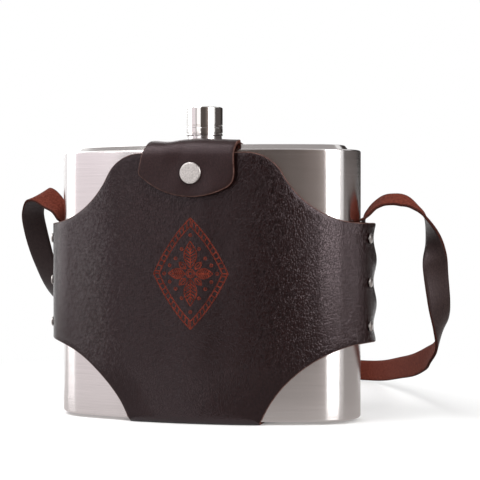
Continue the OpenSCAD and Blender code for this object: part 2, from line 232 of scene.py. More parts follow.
def grain_finish(tree, shader, grain, smooth, rough, deep, strength):
    """Lets a grain set the roughness, from smooth to rough, and the bump."""
    feed(shader, {"Roughness": span(tree, grain, smooth, rough)})
    bump(tree, shader, grain, deep, strength)


# Materials

def brushed_steel():
    """Steel brushed round the body, so that its sheen spreads up and down."""
    mat, tree, shader = material("brushed_steel", (0.80, 0.77, 0.765), 0.2, 1.0)
    tangent = add_node(tree, "Tangent", {})
    tangent.direction_type = "RADIAL"
    tangent.axis = "Z"
    lines = noise_texture(tree, coordinates(tree, (14, 14, 1500)), 1.0, 6.0, 0.75)
    tint = ramp(tree, lines, (0.3, (0.755, 0.724, 0.72)), (0.7, (0.855, 0.823, 0.818)))
    feed(shader, {"Base Color": tint, "Tangent": tangent.outputs["Tangent"]})
    feed(shader, {"Anisotropic": 0.9, "Anisotropic Rotation": 0.25})
    grain_finish(tree, shader, lines, 0.19, 0.29, 0.006 * MM, 0.5)
    return mat


def satin_steel():
    """Pressed steel with a fine even grain."""
    mat, tree, shader = material("satin_steel", (0.74, 0.715, 0.705), 0.16, 1.0)
    grain = noise_texture(tree, coordinates(tree), 2200)
    grain_finish(tree, shader, grain, 0.12, 0.22, 0.01 * MM, 0.4)
    return mat


def polished_steel():
    """Turned and polished steel with fine lines round the axis."""
    mat, tree, shader = material("polished_steel", (0.78, 0.76, 0.74), 0.08, 1.0)
    lines = noise_texture(tree, coordinates(tree, (20, 20, 4000)), 1.0, 3.0)
    grain_finish(tree, shader, lines, 0.05, 0.13, 0.008 * MM, 0.5)
    return mat


def satin_nickel():
    """Plated metal, matt and slightly spotted with wear."""
    mat, tree, shader = material("satin_nickel", (0.74, 0.70, 0.675), 0.36, 1.0)
    spots = noise_texture(tree, coordinates(tree), 1100)
    tint = ramp(tree, spots, (0.3, (0.43, 0.405, 0.39)), (0.7, (0.72, 0.685, 0.66)))
    feed(shader, {"Base Color": tint})
    grain_finish(tree, shader, spots, 0.28, 0.46, 0.12 * MM, 0.7)
    return mat


def plain_mould(name, base, rough):
    """Moulded plastic or rubber."""
    mat, tree, shader = material(name, base, rough)
    spots = noise_texture(tree, coordinates(tree), 1500, 3.0)
    grain_finish(tree, shader, spots, rough - 0.06, rough + 0.08, 0.02 * MM, 0.4)
    return mat


def grained_hide(name, dark, light, deep, rough, dull, shine):
    """Waxed hide: smooth upright pebbles, parted by fine dull creases, with painted shade darkening their
    colour, and a random cloudy tone.
    """
    pebbles_per_m = 940
    wander_by = 1.6 * MM
    crease_w = 0.2
    mat, tree, shader = material(name, dark, rough)
    where = coordinates(tree, (1.15, 0.9, 0.42), math.radians(22))
    cloud = noise_texture(tree, where, 45, 3.0)
    wander = add_node(tree, "TexNoise", {"Vector": where, "Scale": 420})
    moved = add_node(tree, "VectorMath", {})
    moved.operation = "MULTIPLY_ADD"
    feed(moved, {0: wander.outputs["Color"], 1: (wander_by, wander_by, wander_by), 2: where})
    cells = add_node(tree, "TexVoronoi", {"Vector": moved.outputs["Vector"], "Scale": pebbles_per_m})
    cells.feature = "DISTANCE_TO_EDGE"
    pebble = smooth_span(tree, cells.outputs["Distance"], 0, crease_w)
    # Painted shade: the base colour darkens in the creases where the pebbles part, and the cloud gives a
    # random tone over it.
    crease_shade_and_tone = calculated(tree, "MULTIPLY", pebble, span(tree, cloud, 0.3, 1.5))
    feed(shader, {
        "Base Color": ramp(tree, crease_shade_and_tone, (0.1, dark), (0.95, light)),
        "Roughness": span(tree, pebble, dull, rough),
        "Specular IOR Level": shine,
        "Specular Tint": (1.0, 0.82, 0.87, 1),
    })
    soft = bump(tree, shader, cloud, 0.5 * MM, 0.6)
    bump(tree, shader, pebble, deep, 0.6, soft)
    return mat


def suede(name, dark, light, fine=700):
    """Flesh side of the hide: short nap, and matt."""
    mat, tree, shader = material(name, dark, 0.85)
    nap = noise_texture(tree, coordinates(tree), fine, 6.0, 0.7)
    tint = ramp(tree, nap, (0.3, dark), (0.72, light))
    feed(shader, {"Base Color": tint, "Specular IOR Level": 0.06})
    bump(tree, shader, nap, 0.25 * MM, 0.7)
    return mat


STEEL = brushed_steel()
SATIN = satin_steel()
POLISH = polished_steel()
NICKEL = satin_nickel()
LINER = plain_mould("moulded_liner", (0.10, 0.10, 0.105), 0.5)
GASKET = plain_mould("silicone", (0.72, 0.72, 0.68), 0.45)
HIDE = grained_hide(
    "pebbled_hide", (0.0036, 0.0012, 0.0011), (0.0112, 0.0040, 0.0038),
    deep=0.11 * MM, rough=0.16, dull=0.27, shine=0.42)
SMOOTH_HIDE = grained_hide(
    "smooth_hide", (0.0108, 0.0043, 0.0041), (0.0200, 0.0086, 0.0082),
    deep=0.05 * MM, rough=0.30, dull=0.44, shine=0.33)
STRAP_HIDE = grained_hide(
    "strap_hide", (0.015, 0.0085, 0.0078), (0.028, 0.0175, 0.016),
    deep=0.05 * MM, rough=0.38, dull=0.52, shine=0.3)
FLESH = suede("flesh_side", (0.060, 0.0105, 0.0072), (0.185, 0.046, 0.028))
# A darker copy of the flesh side, for the flap's underside: painted shade in the hollow of the fold and
# under the flap.
FLESH_IN_PAINTED_SHADE = suede("flesh_side_in_painted_shade", (0.026, 0.0065, 0.005), (0.075, 0.021, 0.014))
RAW_EDGE = suede("raw_edge", (0.045, 0.014, 0.010), (0.17, 0.066, 0.048))
# A darker copy of the raw edge, for the flap's cut edges: the edge's own colour with painted shade.
FLAP_EDGE_IN_PAINTED_SHADE = suede("flap_edge_in_painted_shade", (0.026, 0.0095, 0.0075), (0.115, 0.049, 0.038))
# A lighter rim along the cut edges: partly a rubbed, burnished edge and partly a painted highlight where the
# edges catch the light.
RUBBED_RIM_AND_HIGHLIGHT = suede("rubbed_rim_and_painted_highlight", (0.028, 0.013, 0.011), (0.17, 0.10, 0.086), 260)
DYED_EDGE = suede("dyed_edge", (0.024, 0.0075, 0.0058), (0.065, 0.019, 0.0135))
CHARRED = suede("charred_line", (0.012, 0.004, 0.0035), (0.05, 0.011, 0.008))
BURNT = suede("burnt_line", (0.04, 0.008, 0.006), (0.30, 0.052, 0.028), 300)


# Mesh helpers

def new_object(name, data):
    obj = bpy.data.objects.new(name, data)
    bpy.context.scene.collection.objects.link(obj)
    return obj


class Build:
    """Points, faces and materials of one piece while it is made."""

    def __init__(self):
        self.points = []
        self.faces = []
        self.kinds = []

    def ring(self, places):
        """Adds points and returns their numbers."""
        start = len(self.points)
        self.points.extend(tuple(p) for p in places)
        return list(range(start, len(self.points)))

    def face(self, corners, kind=0):
        """Adds a face, unless corners that fall together leave fewer than three."""
        corners = tuple(dict.fromkeys(corners))
        if len(corners) > 2:
            self.faces.append(corners)
            self.kinds.append(kind)

    def bridge(self, low, high, kind=0, closed=True):
        """Adds the faces between two rows of points."""
        count = len(low)
        for i in range(count if closed else count - 1):
            k = (i + 1) % count
            self.face((low[i], low[k], high[k], high[i]), kind)

    def made(self, name, materials):
        """Makes the plain object."""
        mesh = bpy.data.meshes.new(name)
        mesh.from_pydata(self.points, [], self.faces)
        for mat in materials:
            mesh.materials.append(mat)
        return new_object(name, mesh)

    def piece(self, name, materials, slot, replaces, sharp=35, body=FLASK):
        """Makes a piece that rides on a body, if any, and stands for the nodes it replaces."""
        obj = self.made(name, materials)
        mesh = obj.data
        mesh.polygons.foreach_set("material_index", self.kinds)
        mesh.shade_smooth()
        mesh.set_sharp_from_angle(angle=math.radians(sharp))
        mesh.update()
        if body:
            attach(obj, body)
        if replaces:
            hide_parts(*replaces)
        return obj


def arc(centre, radius, start, end, steps):
    """Points of an arc in a plane, angles in degrees."""
    angles = np.radians(np.linspace(start, end, steps + 1))
    return np.array(centre) + radius * np.stack([np.cos(angles), np.sin(angles)], axis=1)


def circle(centre, radius, steps):
    return arc(centre, radius, 0, 360, steps)[:-1]


def rounded(centre, radius, start, end, steps=6):
    """Profile points round an edge."""
    return [tuple(p) for p in arc(centre, radius, start, end, steps)]


def resample(points, step):
    """A closed outline again, with points about a step apart."""
    points = np.vstack([points, points[:1]])
    along = np.concatenate([[0], np.cumsum(np.linalg.norm(np.diff(points, axis=0), axis=1))])
    at = np.linspace(0, along[-1], max(8, round(along[-1] / step)), endpoint=False)
    return np.stack([np.interp(at, along, points[:, k]) for k in range(2)], axis=1)


def softened(loop):
    """A closed outline with its corners eased, as a knife leaves them in hide."""
    return (np.roll(loop, 1, axis=0) + 2 * loop + np.roll(loop, -1, axis=0)) / 4


def offset(loop, distance):
    """A counter-clockwise loop moved inwards by a distance."""
    ahead = np.roll(loop, -1, axis=0) - np.roll(loop, 1, axis=0)
    ahead /= np.linalg.norm(ahead, axis=1)[:, None]
    inward = np.stack([-ahead[:, 1], ahead[:, 0]], axis=1)
    return loop + distance * inward


def distance_inside(points, loop):
    """Distance of each point from a loop's edge, below zero outside it."""
    nearest = np.full(len(points), np.inf)
    inside = np.zeros(len(points), bool)
    for p, q in zip(loop, np.roll(loop, -1, axis=0) - loop):
        t = np.clip(((points - p) @ q) / (q @ q), 0, 1)
        nearest = np.minimum(nearest, np.linalg.norm(points - p - t[:, None] * q, axis=1))
        crosses = (p[1] > points[:, 1]) != (p[1] + q[1] > points[:, 1])
        with np.errstate(divide="ignore", invalid="ignore"):
            at = p[0] + q[0] * (points[:, 1] - p[1]) / q[1]
        inside ^= crosses & (points[:, 0] < at)
    return np.where(inside, nearest, -nearest)


def filled(loops, spacing):
    """Points and triangles that fill the first loop and leave the other loops open."""
    row_pitch = 0.866 * spacing
    clear = 0.5 * spacing
    low, high = loops[0].min(0), loops[0].max(0)
    xs = np.arange(low[0], high[0], spacing)
    rows = []
    for i, y in enumerate(np.arange(low[1], high[1], row_pitch)):
        rows.append(np.stack([xs + spacing / 2 * (i % 2), np.full(len(xs), y)], axis=1))
    grid = np.vstack(rows)
    grid = grid[distance_inside(grid, loops[0]) > clear]
    for hole in loops[1:]:
        grid = grid[distance_inside(grid, hole) < -clear]
    edges = []
    start = 0
    for loop in loops:
        count = len(loop)
        edges += [(start + i, start + (i + 1) % count) for i in range(count)]
        start += count
    points = [Vector(p / spacing) for p in np.vstack([*loops, grid])]
    inside = 1
    made = delaunay_2d_cdt(points, edges, [], inside, 1e-6)
    flat = np.array([tuple(v) for v in made[0]]) * spacing
    triangles = np.array([list(f) for f in made[2]])
    for hole in loops[1:]:
        triangles = triangles[distance_inside(flat[triangles].mean(axis=1), hole) < 0]
    return flat, triangles


# Profile of a cut edge of hide: mm in from the edge, and depth as a share of the thickness
CUT_EDGE = [(0.6, 0.0), (0.34, 0.05), (0.12, 0.17), (0.0, 0.34), (0.0, 0.72), (0.1, 0.88), (0.35, 1.0)]
# Materials of a sheet of hide
GRAIN, FLESH_SIDE, CUT, RIM = range(4)
EDGE_KINDS = [RIM, RIM, CUT, CUT, CUT, FLESH_SIDE]


def hide_sheet(build, outline, holes, place, spacing):
    """Adds a closed sheet of hide over a flat outline. place puts flat points at a depth."""
    loops = [outline, *holes]
    ways = [1] + [-1] * len(holes)

    def inset(distance):
        return [offset(loop, way * distance) for loop, way in zip(loops, ways)]

    flat, triangles = filled(inset(CUT_EDGE[0][0] * MM), spacing)
    top = build.ring(place(flat, 0.0))
    for t in triangles:
        build.face([top[i] for i in t], GRAIN)
    flat, triangles = filled(inset(CUT_EDGE[-1][0] * MM), spacing)
    bottom = build.ring(place(flat, HIDE_T))
    for t in triangles[:, ::-1]:
        build.face([bottom[i] for i in t], FLESH_SIDE)
    start = 0
    for loop, way in zip(loops, ways):
        end = start + len(loop)
        rings = [top[start:end]]
        for distance, share in CUT_EDGE[1:-1]:
            rings.append(build.ring(place(offset(loop, way * distance * MM), share * HIDE_T)))
        rings.append(bottom[start:end])
        for low, high, kind in zip(rings, rings[1:], EDGE_KINDS):
            if way > 0:
                low, high = high, low
            build.bridge(low, high, kind)
        start = end


def smooth_step(value, low, high):
    t = np.clip((value - low) / (high - low), 0, 1)
    return t * t * (3 - 2 * t)


def hill(value, middle, width):
    return np.exp(-(((value - middle) / width) ** 2))


def ripple(places, scale, seed):
    """Soft unevenness from -1 to 1 at each place."""
    return np.array([noise.noise(Vector(p) * scale + Vector((seed, 0, 0))) for p in places])


# Steel

def plan_loop(grow, arc_steps=48, end_steps=40):
    """The body's plan outline, moved out by a distance, counter-clockwise seen from above."""
    front = np.linspace(-END_A, END_A, arc_steps, endpoint=False)
    right = np.linspace(END_A - math.pi / 2, END_A + math.pi / 2, end_steps, endpoint=False)
    left = math.pi - np.linspace(END_A + math.pi / 2, END_A - math.pi / 2, end_steps, endpoint=False)
    outer, inner, end = FRONT_R + grow, BACK_R - grow, HALF_T + grow
    return np.vstack([
        np.stack([outer * np.sin(front), BEND_R - outer * np.cos(front)], axis=1),
        np.stack([END_X + end * np.cos(right), END_Y + end * np.sin(right)], axis=1),
        np.stack([inner * np.sin(-front), BEND_R - inner * np.cos(front)], axis=1),
        np.stack([-END_X + end * np.cos(left), END_Y + end * np.sin(left)], axis=1),
    ])


def at_height(loop, z):
    return np.column_stack([loop, np.full(len(loop), z)])


def steel_body():
    """Rolled wall with a rounded lip at each end."""
    inside = EDGE_R - SHEET_T
    low, high = BASE_Z + EDGE_R, RIM_Z - EDGE_R
    profile = [(-LIP_IN, BASE_Z)]
    profile += rounded((-EDGE_R, low), EDGE_R, 270, 360)
    profile += [(0, z) for z in np.linspace(low, high, 14)[1:-1]]
    profile += rounded((-EDGE_R, high), EDGE_R, 0, 90)
    profile += [(-LIP_IN, RIM_Z), (-LIP_IN, RIM_Z - SHEET_T)]
    profile += rounded((-EDGE_R, high), inside, 90, 0, 3)
    profile += rounded((-EDGE_R, low), inside, 360, 270, 3)
    profile += [(-LIP_IN, BASE_Z + SHEET_T)]
    build = Build()
    rings = [build.ring(at_height(plan_loop(grow), z)) for grow, z in profile]
    for below, above in zip(rings, rings[1:] + rings[:1]):
        build.bridge(below, above)
    build.piece("steel_body", [STEEL], "brushed_steel", ["body_shell"])


def plate(build, rows, spacing, flip, hole=None):
    """Adds rings round a filled middle. Gives the outer ring and the hole's edge."""
    rings = [build.ring(at_height(plan_loop(grow), z)) for grow, z in rows[:-1]]
    grow, z = rows[-1]
    loops = [plan_loop(grow)]
    if hole is not None:
        loops.append(hole)
    flat, triangles = filled(loops, spacing)
    middle = build.ring(at_height(flat, z))
    count = len(loops[0])
    rings.append(middle[:count])
    for low, high in zip(rings, rings[1:]):
        if flip:
            low, high = high, low
        build.bridge(low, high)
    for t in triangles:
        build.face([middle[i] for i in (t[::-1] if flip else t)])
    return rings[0], middle[count:sum(len(loop) for loop in loops)]


def steel_top():
    """Pressed plate with a raised panel, and the hole for the neck."""
    soft = 1.2 * MM
    steep = 50
    slope_a = math.radians(steep)
    low, high = RIM_Z - 0.05 * MM, PANEL_Z
    rise = high - low - 2 * soft * (1 - math.cos(slope_a))
    run = soft * math.sin(slope_a) + rise / math.tan(slope_a) / 2
    upper = [(-PLATE_IN, RIM_Z - 0.35 * MM), (-PLATE_IN - 0.5 * MM, low)]
    upper += rounded((run - PANEL_INSET, low + soft), soft, 270, 270 - steep)
    upper += rounded((-PANEL_INSET - run, high - soft), soft, 90 - steep, 90)
    upper += [(-PANEL_INSET - run - soft, high)]
    lower = [(grow - 0.4 * MM, z - SHEET_T) for grow, z in upper]
    hole = circle((0, 0), NECK_HOLE_R, 48)
    build = Build()
    over, mouth = plate(build, upper, 6 * MM, False, hole)
    under, throat = plate(build, lower, 6 * MM, True, hole)
    build.bridge(under, over)
    build.bridge(mouth, throat)
    build.piece("steel_top", [SATIN], "brushed_steel", ["top_plate"])


def steel_base():
    """Pressed base with a slightly raised middle."""
    foot = BASE_Z + 0.05 * MM
    lower = [(-PLATE_IN, BASE_Z + 0.3 * MM), (-PLATE_IN - 0.5 * MM, foot)]
    lower += [(-PLATE_IN - 3 * MM, foot), (-PLATE_IN - 5 * MM, BASE_Z + 0.35 * MM)]
    upper = [(grow, z + 0.6 * MM) for grow, z in lower]
    build = Build()
    under, _ = plate(build, lower, 8 * MM, True)
    over, _ = plate(build, upper, 8 * MM, False)
    build.bridge(under, over)
    build.piece("steel_base", [SATIN], "brushed_steel", ["base_plate"])


# Turned pieces

def lathe(profile, turn=96):
    """Build of a profile (radius, height) turned about Z, closed where it meets the axis."""
    build = Build()
    rings = []
    for radius, z in profile:
        if radius < 1e-9:
            rings.append(build.ring([(0, 0, z)]) * turn)
        else:
            rings.append(build.ring(at_height(circle((0, 0), radius, turn), z)))
    for low, high in zip(rings, rings[1:]):
        build.bridge(low, high)
    return build


def cap():
    """Turned cup with ring grooves below and faint ribs above."""
    low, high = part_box("cap_shell")
    bottom, top = low.z, high.z
    radius = high.x
    inner = radius - 0.7 * MM
    roof = top - 0.8 * MM
    edge = 0.8 * MM
    dish = 0.12 * MM
    rib, rib_deep = 1.7 * MM, 0.035 * MM
    ribs = np.linspace(bottom + 7.2 * MM, top - 1.2 * MM, 61)
    profile = [(0, roof), (inner, roof), (inner, bottom + 0.2 * MM), (inner + 0.2 * MM, bottom)]
    profile += [(radius - 0.25 * MM, bottom), (radius, bottom + 0.25 * MM)]
    for up, width, deep in ((1.5, 0.55, 0.45), (4.9, 0.25, 0.12), (6.5, 0.45, 0.35)):
        z, wide, groove = bottom + up * MM, width * MM, radius - deep * MM
        profile += [(radius, z - wide), (groove, z - wide / 3), (groove, z + wide / 3), (radius, z + wide)]
    profile += [(radius - rib_deep * math.sin(math.pi * (z - ribs[0]) / rib) ** 2, z) for z in ribs]
    profile += rounded((radius - edge, top - edge), edge, 0, 90)
    profile += [(radius - 2.2 * MM, top), (radius - 2.5 * MM, top - dish), (0, top - dish)]
    build = lathe(profile, 128)
    build.piece("cap", [POLISH], "polished_steel", ["cap_shell"], 30, "cap")


def turned_out(build, place, normal):
    """Moves a turned piece so that its axis runs along a normal from a place."""
    turn = Vector((0, 0, 1)).rotation_difference(Vector(normal)).to_matrix()
    build.points = [tuple(turn @ Vector(p) + Vector(place)) for p in build.points]


def snap_button():
    """Flat cap of the snap, slightly crowned."""
    low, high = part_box("snap_cap")
    radius = (high.x - low.x) / 2
    tall = TONGUE_OUT - low.y
    edge = 0.5 * MM
    crown = 0.06 * MM
    profile = [(0, 0.02 * MM), (radius - 0.1 * MM, 0.02 * MM), (radius, 0.2 * MM)]
    profile += rounded((radius - edge, tall - edge), edge, 0, 80)
    profile += [(radius * share, tall - crown * share**2) for share in (0.8, 0.5, 0.2, 0)]
    build = lathe(profile)
    turned_out(build, ((low.x + high.x) / 2, TONGUE_OUT, (low.z + high.z) / 2), (0, -1, 0))
    build.piece("snap_button", [NICKEL], "nickel", ["snap_cap"], 30, "tongue")


def rivet_heads(side, name, node):
    """Three domed heads at one side."""
    radius = 3.2 * MM
    tall = 1.3 * MM
    rim = 0.45 * MM
    stand = HALF_T + SKIN_OUT + FRONT_SLACK * math.cos(RIVET_BACK)
    normal = (side * math.cos(RIVET_A), math.sin(RIVET_A), 0)
    profile = [(0, 0), (radius - 0.1 * MM, 0), (radius, 0.15 * MM), (radius - 0.05 * MM, rim)]
    for a in np.radians([20, 40, 60, 76]):
        profile.append((radius * math.cos(a), rim + (tall - rim) * math.sin(a)))
    profile.append((0, tall))
    build = Build()
    for z in RIVET_ZS:
        head = lathe(profile, 48)
        place = (side * (END_X + stand * math.cos(RIVET_A)), END_Y + stand * math.sin(RIVET_A), z)
        turned_out(head, place, normal)
        start = len(build.points)
        build.points += head.points
        for corners in head.faces:
            build.face([start + i for i in corners])
    build.piece(name, [NICKEL], "nickel", [node])


# Holster

def end_of(slack):
    """Angle and centre of a side when the hide stands out by a slack."""
    a = END_A + slack / BEND_R
    return a, BEND_R * math.sin(a), BEND_R * (1 - math.cos(a))


def way_of_x(x, slack, radius, sign):
    """Distance from the middle of the front or back to where the hide's outside has a given X."""
    a, ex, _ = end_of(slack)
    outside = radius + sign * SKIN_OUT
    if x <= outside * math.sin(a):
        return radius * math.asin(x / outside)
    turn = math.acos(min(1, (x - ex) / (HALF_T + SKIN_OUT)))
    start = math.pi / 2 - sign * a
    return radius * a + HALF_T * (start - turn)


def reach_way(reach, slack, radius, sign):
    """Distance along the front or back at which a wing ends, at an angle round the side."""
    a, _, _ = end_of(slack)
    start = math.pi / 2 - sign * a
    return radius * a + HALF_T * (start + sign * reach)


def flat_way(way):
    """Flat coordinate of a distance along the back, so that the sling's edges stay straight."""
    if way <= BACK_PART:
        return FRONT_R * math.asin(BACK_R * math.sin(way / BACK_R) / FRONT_R)
    return FRONT_PART + way - BACK_PART


def back_way(flat):
    """Distances along the back of flat coordinates: the other way round."""
    across = FRONT_R * np.sin(np.minimum(flat, FRONT_PART) / FRONT_R)
    inner = BACK_R * np.arcsin(np.clip(across / BACK_R, -1, 1))
    return np.where(flat <= FRONT_PART, inner, BACK_PART + flat - FRONT_PART)


def side_profile():
    """Right side of the front outline above and below the wing, as (X, height) points."""
    shoulder_z = FRONT_Z - SHOULDER_R
    drop, run = WING_TOP - shoulder_z, WING_X - SHOULDER_X
    scoop_r = (run**2 + drop**2 - SHOULDER_R**2) / (2 * (SHOULDER_R - drop))
    scoop = (WING_X, WING_TOP + scoop_r)
    turn = math.degrees(math.atan2(scoop[1] - shoulder_z, scoop[0] - SHOULDER_X))
    low_r = ((LOW_X - TAB_X) ** 2 + WING_LOW**2) / (2 * WING_LOW)
    low = (LOW_X, WING_LOW - low_r)
    upper = np.vstack([
        arc((SHOULDER_X, shoulder_z), SHOULDER_R, 90, turn, 30),
        arc(scoop, scoop_r, 180 + turn, 270, 40)[1:],
    ])
    start = 180 - math.degrees(math.acos((LOW_X - TAB_X) / low_r))
    end = 180 - math.degrees(math.acos((LOW_X - WING_X) / low_r))
    return upper, arc(low, low_r, end, start, 40)


def panel_side(slack, radius, sign, reach):
    """Right side of the front or back in flat coordinates (distance from the middle, height)."""
    inside = reach_way(reach, slack, radius, sign) - WING_CORNER_R
    top, bottom = [
        [(way_of_x(x, slack, radius, sign), z) for x, z in line] for line in side_profile()]
    corners = rounded((inside, top[-1][1] - WING_CORNER_R), WING_CORNER_R, 90, 0)
    corners += rounded((inside, bottom[0][1] + WING_CORNER_R), WING_CORNER_R, 0, -90)
    return np.array(top + corners + bottom)


def holster_outline():
    """Flat outline of the whole hide: the front, the sling and, below it, the back."""
    front = panel_side(FRONT_SLACK, FRONT_R, 1, FRONT_REACH)
    back = panel_side(BACK_SLACK, BACK_R, -1, BACK_REACH)
    back = np.array([(flat_way(w), T_BACK - (z - BOTTOM_R)) for w, z in back])
    right = np.vstack([front, back[::-1]])
    left = right[::-1] * (-1, 1)
    return resample(np.vstack([right, left])[::-1], 1.6 * MM)


def front_stand_off(way, z):
    """How far the front swells: waves by the rivets, two loose halves, a tight stretch at right."""
    wave_h, wave_in = 2.8 * MM, 0.2 * MM
    bulge = 2.9 * MM
    pull = 2.9 * MM
    reach = np.abs(way)
    corner = FRONT_R * END_A
    by_rivets = smooth_step(reach, corner + 34 * MM, corner + 50 * MM)
    wave = 0.5 - 0.5 * np.cos(2 * math.pi * (z - RIVET_ZS[0]) / RIVET_PITCH)
    loose = smooth_step(reach, 12 * MM, 55 * MM) - smooth_step(reach, 55 * MM, 98 * MM)
    tight = smooth_step(way, 80 * MM, 104 * MM) - smooth_step(way, 96 * MM, 121 * MM)
    out = by_rivets * (wave_h * wave - wave_in)
    return out + bulge * loose * smooth_step(z, 6 * MM, 36 * MM) - pull * tight


def on_side(way, lift, slack, radius, sign):
    """Plan places at distances along the front (sign 1) or the back (sign -1)."""
    a, ex, ey = end_of(slack)
    half = radius * a
    size, side = np.abs(way), np.sign(way)
    phi = np.minimum(size, half) / radius
    turn = np.maximum(size - half, 0) / HALF_T
    heading = a - sign * (math.pi / 2 - turn)
    bent = radius + sign * lift
    x = np.where(size <= half, bent * np.sin(phi), ex + (HALF_T + lift) * np.cos(heading))
    y = np.where(size <= half, BEND_R - bent * np.cos(phi), ey + (HALF_T + lift) * np.sin(heading))
    return side * x, y


def sling_place(way, t, depth):
    """Places of flat points under the base and round its two turns."""
    x = FRONT_R * np.sin(way / FRONT_R)
    turn_front = np.clip((T_FRONT - t) / BOTTOM_R, 0, math.pi / 2)
    turn_back = np.clip((T_REAR - t) / BOTTOM_R, 0, math.pi / 2)
    radius = BOTTOM_R - depth
    edge = HALF_T + SKIN_OUT - BOTTOM_R
    run = np.clip((T_UNDER - t) / SLING, 0, 1)
    across = -edge + 2 * edge * run - radius * np.cos(turn_front) + radius * np.sin(turn_back)
    z = BOTTOM_R - radius * np.sin(turn_front) + radius * (1 - np.cos(turn_back))
    with np.errstate(invalid="ignore"):
        y = BEND_R - np.sqrt((BEND_R - across) ** 2 - x**2)
    return np.column_stack([x, y, z])


def holster_place(flat, depth):
    """Places of flat points of the holster at a depth below its outside."""
    way, t = flat[:, 0], flat[:, 1]
    lift = SKIN_OUT - depth
    out = sling_place(way, t, depth)
    front = t >= T_FRONT
    x, y = on_side(way, lift + front_stand_off(way, t), FRONT_SLACK, FRONT_R, 1)
    out[front] = np.column_stack([x, y, t])[front]
    rear = t <= T_BACK
    back = np.sign(way) * back_way(np.abs(way))
    x, y = on_side(back, lift, BACK_SLACK, BACK_R, -1)
    out[rear] = np.column_stack([x, y, BOTTOM_R + T_BACK - t])[rear]
    return out


def holster():
    """The one hide that wraps the body."""
    build = Build()
    hide_sheet(build, holster_outline(), [], holster_place, 3 * MM)
    # The rim slot takes the lighter rim, which is partly a painted highlight.
    looks = [HIDE, FLESH, RAW_EDGE, RUBBED_RIM_AND_HIGHLIGHT]
    build.piece("holster_leather", looks, "hide", ["holster_wrap"], 50)


# Flap

def flap_place(flat, depth):
    """Places of flat points of the flap: X, and the way back over the top from the neck's axis."""
    x, t = flat[:, 0], flat[:, 1]
    front_turn = np.clip((FLAT_FRONT - t) / FOLD_R, 0, math.pi / 2)
    front_fall = np.maximum(FLAT_FRONT - t - FOLD_ARC, 0)
    back_turn = np.clip((t - FLAT_BACK) / REAR_R, 0, math.pi / 2)
    back_fall = np.maximum(t - FLAT_BACK - REAR_ARC, 0)
    ny = np.sin(back_turn) - np.sin(front_turn)
    nz = np.cos(np.maximum(front_turn, back_turn))
    y = np.clip(t, FLAT_FRONT, FLAT_BACK) + np.where(front_turn > 0, FOLD_R, REAR_R) * ny
    z = FLAP_TOP - FOLD_R * (1 - np.cos(front_turn)) - front_fall
    z = z - REAR_R * (1 - np.cos(back_turn)) - back_fall
    # The tail follows the hollow back, and the tongue hugs the front beside the snap
    bend = BACK_R - SKIN_OUT
    y = y + smooth_step(t, -8 * MM, FLAT_BACK) * (bend - np.sqrt(bend**2 - x**2))
    hug = smooth_step(front_fall, 4 * MM, 26 * MM)
    y = y + hug * 1.6 * MM * smooth_step(np.abs(x - SNAP_X), 9 * MM, 34 * MM)
    pulled = hill(np.hypot(x - SNAP_X, front_fall - (FOLD_Z - SNAP_Z)), 0, 11 * MM)
    y = y + 0.5 * MM * pulled * (front_turn > 0)
    # The hide rises round the neck and lies unevenly towards the fold
    z = z + 0.7 * MM * hill(np.hypot(x, t), NECK_SLOT, 5 * MM) * (front_fall == 0)
    raised = 1.2 * MM * hill(x, 4 * MM, 14 * MM) - 0.6 * MM * hill(x, -17 * MM, 7 * MM)
    z = z + raised * nz * smooth_step(-t, 5 * MM, 15 * MM) * (back_turn == 0)
    uneven = 0.6 * MM * ripple(np.column_stack([x, t, 0 * t]), 70, 3.0) * smooth_step(-t, 4 * MM, 20 * MM)
    return np.column_stack([x, y - depth * ny + uneven * ny, z - depth * nz + uneven * nz])


def flap_outline():
    """Flat outline of the flap, counter-clockwise: round tongue and narrower tail."""
    fold = FLAT_FRONT - FOLD_ARC
    half_fold = FLAT_FRONT - 0.5 * FOLD_ARC
    tip = fold - (FOLD_Z - TONGUE_TIP)
    tail = FLAT_BACK + REAR_ARC + (FLAP_TOP - REAR_R - FRONT_Z)
    left, right = FLAP_LEFT, FLAP_RIGHT
    right_turn = math.degrees(math.asin((right - FLAP_TAPER - SNAP_X) / TONGUE_END_R))
    left_turn = math.degrees(math.asin((SNAP_X - left) / TONGUE_END_R))
    points = np.vstack([
        arc((SNAP_X, tip + TONGUE_END_R), TONGUE_END_R, 270 - left_turn, 270 + right_turn, 40),
        [(right - 1.1 * MM, tip + 9.5 * MM), (right, tip + 14.4 * MM), (right - 0.4 * MM, fold)],
        [(right + 0.5 * MM, half_fold), (right + 2 * MM, FLAT_FRONT)],
        [(right + 1.4 * MM, FLAT_FRONT + 1.5 * MM), (right - FLAP_TAPER, 0)],
        [(right - 2 * FLAP_TAPER, FLAT_BACK), (right - 2 * FLAP_TAPER, tail)],
        [(left + 2 * FLAP_TAPER, tail), (left + 2 * FLAP_TAPER, 0), (left + 7 * MM, FLAT_FRONT)],
        [(left + 5 * MM, half_fold), (left + 2.5 * MM, fold)],
    ])
    return softened(resample(points, 1.3 * MM))


def flap():
    """The flap with its tongue, turned down over the top at a rounded fold."""
    build = Build()
    slot = resample(circle((0, 0), NECK_SLOT, 60), 1.2 * MM)
    hide_sheet(build, flap_outline(), [slot], flap_place, 2 * MM)
    # The flap takes darker copies of the flesh side and cut edge, which paint shade, and the lighter rim,
    # which is partly a painted highlight.
    looks = [SMOOTH_HIDE, FLESH_IN_PAINTED_SHADE, FLAP_EDGE_IN_PAINTED_SHADE, RUBBED_RIM_AND_HIGHLIGHT]
    obj = build.piece("flap_leather", looks, "hide", ["flap_top", "flap_tongue"], 50, None)
    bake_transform(obj)


# Strap

STRAP_LOOKS = [STRAP_HIDE, FLESH, DYED_EDGE]


